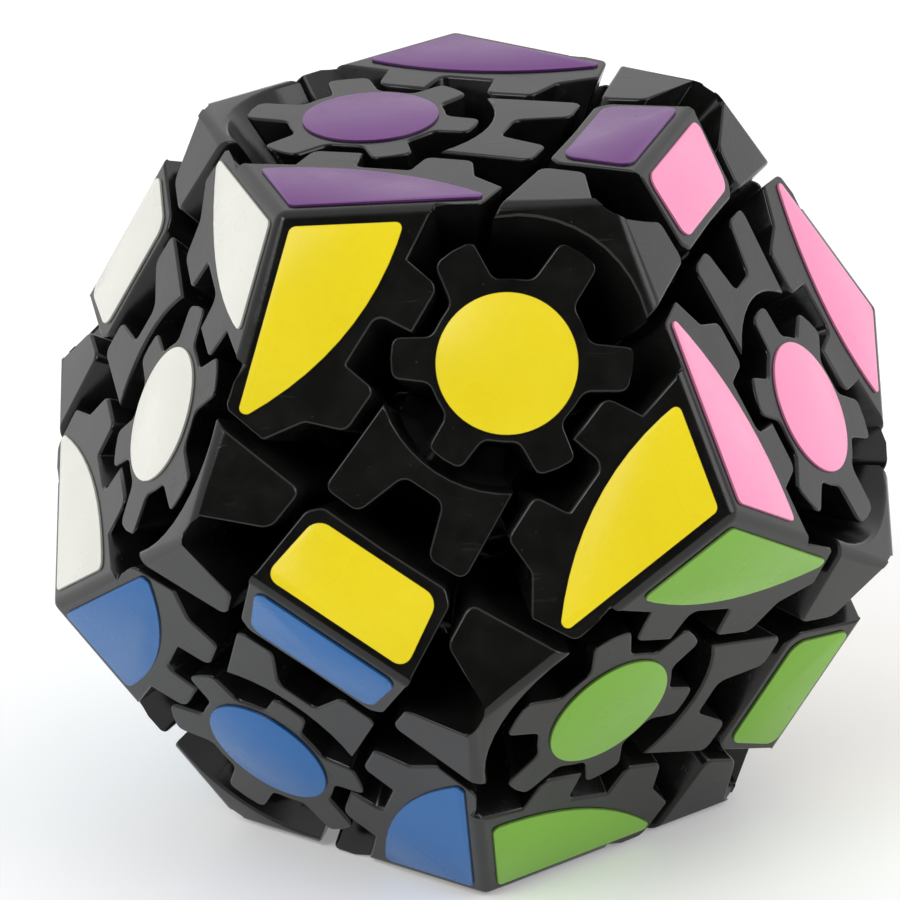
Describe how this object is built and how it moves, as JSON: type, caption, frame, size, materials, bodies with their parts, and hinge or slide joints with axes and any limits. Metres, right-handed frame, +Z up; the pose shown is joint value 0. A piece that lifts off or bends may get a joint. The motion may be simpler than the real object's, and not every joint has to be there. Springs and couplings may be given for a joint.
{
  "type": "dodecahedron twisty puzzle",
  "caption": "Geared twelve-face twisty puzzle: a gear with a round sticker in every face meshes with toothed rims, so opposite layers turn together.",
  "frame": {"origin": "centre of the resting face, at the middle of the bounding box in plan", "axes": "+Z up, square to the resting face and the top face; -Y towards the front, the way the yellow face looks; +X to the right seen from the front"},
  "size_m": [0.0838, 0.087, 0.0713],
  "materials": {
    "black_plastic": "moulded black plastic, semi-gloss",
    "white_plastic": "moulded natural plastic",
    "zinc_steel": "zinc plated",
    "spring_steel": "drawn wire"
  },
  "bodies": {
    "core": {"cap_cream_green": "black_plastic", "cap_grey_sky": "black_plastic", "cap_pink_purple": "black_plastic", "cap_teal_white": "black_plastic", "carrier_grey": "black_plastic", "carrier_pink": "black_plastic", "carrier_purple": "black_plastic", "carrier_sky": "black_plastic", "centre_cream_green": "black_plastic", "centre_grey_sky": "black_plastic", "centre_pink_purple": "black_plastic", "centre_teal_white": "black_plastic", "core_spider": "white_plastic", "screw_blue_yellow": "zinc_steel", "screw_cream_green": "zinc_steel", "screw_grey_sky": "zinc_steel", "screw_orange_red": "zinc_steel", "screw_pink_purple": "zinc_steel", "screw_teal_white": "zinc_steel", "spring_blue_yellow": "spring_steel", "spring_cream_green": "spring_steel", "spring_grey_sky": "spring_steel", "spring_orange_red": "spring_steel", "spring_pink_purple": "spring_steel", "spring_teal_white": "spring_steel"},
    "front_layer": {"cap_blue_yellow": "black_plastic", "carrier_blue": "black_plastic", "carrier_green": "black_plastic", "carrier_white": "black_plastic", "carrier_yellow": "black_plastic", "centre_blue_yellow": "black_plastic", "corner_blue_grey_green": "black_plastic", "corner_blue_sky_white": "black_plastic", "corner_yellow_pink_green": "black_plastic", "corner_yellow_purple_white": "black_plastic", "gear_blue": "black_plastic", "gear_green": "black_plastic", "gear_white": "black_plastic", "gear_yellow": "black_plastic"},
    "back_layer": {"cap_orange_red": "black_plastic", "carrier_cream": "black_plastic", "carrier_orange": "black_plastic", "carrier_red": "black_plastic", "carrier_teal": "black_plastic", "centre_orange_red": "black_plastic", "corner_orange_pink_cream": "black_plastic", "corner_orange_purple_teal": "black_plastic", "corner_red_grey_cream": "black_plastic", "corner_red_sky_teal": "black_plastic", "gear_cream": "black_plastic", "gear_orange": "black_plastic", "gear_red": "black_plastic", "gear_teal": "black_plastic"},
    "middle_gear_purple": {"gear_purple": "black_plastic"},
    "middle_gear_pink": {"gear_pink": "black_plastic"},
    "middle_gear_sky": {"gear_sky": "black_plastic"},
    "middle_gear_grey": {"gear_grey": "black_plastic"}
  },
  "joints": [
    {"name": "front_layer_turn", "type": "hinge", "parent": "core", "child": "front_layer", "pos_m": [0, 0, 0.03563], "axis": [-0.309, -0.9511, 0], "continuous": true},
    {"name": "back_layer_turn", "type": "hinge", "parent": "core", "child": "back_layer", "pos_m": [0, 0, 0.03563], "axis": [-0.309, -0.9511, 0], "continuous": true},
    {"name": "gear_purple_spin", "type": "hinge", "parent": "core", "child": "middle_gear_purple", "pos_m": [0, 0, 0.03563], "axis": [-0.2185, 0.071, 0.9732], "continuous": true},
    {"name": "gear_pink_spin", "type": "hinge", "parent": "core", "child": "middle_gear_pink", "pos_m": [0, 0, 0.03563], "axis": [0.9256, -0.3008, 0.2298], "continuous": true},
    {"name": "gear_sky_spin", "type": "hinge", "parent": "core", "child": "middle_gear_sky", "pos_m": [0, 0, 0.03563], "axis": [-0.9256, 0.3008, -0.2298], "continuous": true},
    {"name": "gear_grey_spin", "type": "hinge", "parent": "core", "child": "middle_gear_grey", "pos_m": [0, 0, 0.03563], "axis": [0.2185, -0.071, -0.9732], "continuous": true}
  ],
  "couplings": [
    {"joint": "back_layer_turn", "follows": "front_layer_turn", "ratio": -1},
    {"joint": "gear_purple_spin", "follows": "front_layer_turn", "ratio": -3.3333},
    {"joint": "gear_pink_spin", "follows": "front_layer_turn", "ratio": -3.3333},
    {"joint": "gear_sky_spin", "follows": "front_layer_turn", "ratio": -3.3333},
    {"joint": "gear_grey_spin", "follows": "front_layer_turn", "ratio": -3.3333}
  ]
}
